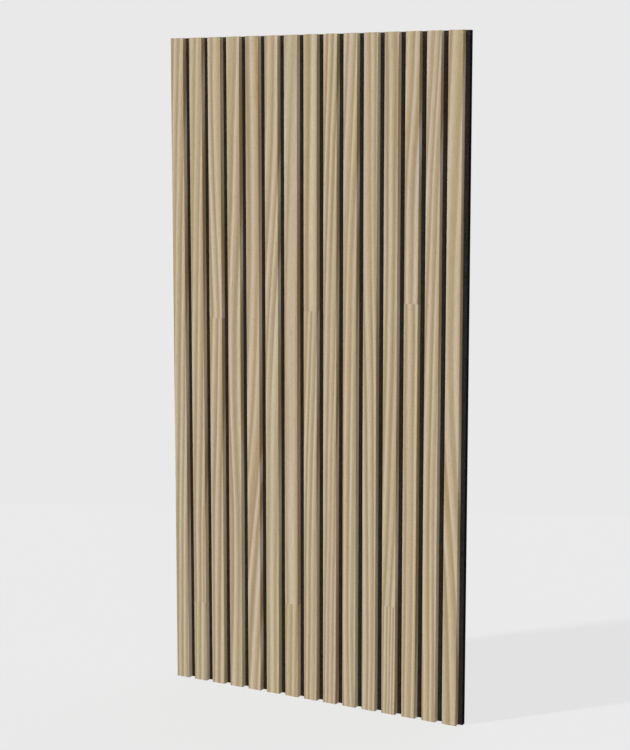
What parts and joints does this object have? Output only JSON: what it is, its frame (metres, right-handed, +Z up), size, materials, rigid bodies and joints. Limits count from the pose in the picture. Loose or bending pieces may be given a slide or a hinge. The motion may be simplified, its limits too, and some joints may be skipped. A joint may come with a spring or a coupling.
{
  "type": "acoustic slat wall panel",
  "caption": "Upright wall panel of pale wood-veneered slats with even gaps, glued and stapled to a black felt backing that deadens sound.",
  "frame": {"origin": "centre of the felt's back face, which lies on the wall", "axes": "+Z up along the slats, +Y into the wall, +X to the right as seen from the front"},
  "size_m": [0.6, 0.02, 1.2],
  "materials": {
    "wood_veneer": "matt oiled veneer with straight grain",
    "black_felt": "needled felt",
    "staple_wire": "zinc-coated wire"
  },
  "bodies": {
    "root": {"slat_01": "wood_veneer", "slat_02": "wood_veneer", "slat_03": "wood_veneer", "slat_04": "wood_veneer", "slat_05": "wood_veneer", "slat_06": "wood_veneer", "slat_07": "wood_veneer", "slat_08": "wood_veneer", "slat_09": "wood_veneer", "slat_10": "wood_veneer", "slat_11": "wood_veneer", "slat_12": "wood_veneer", "slat_13": "wood_veneer", "slat_14": "wood_veneer", "slat_15": "wood_veneer", "felt_backing": "black_felt", "back_staples": "staple_wire"}
  },
  "joints": []
}
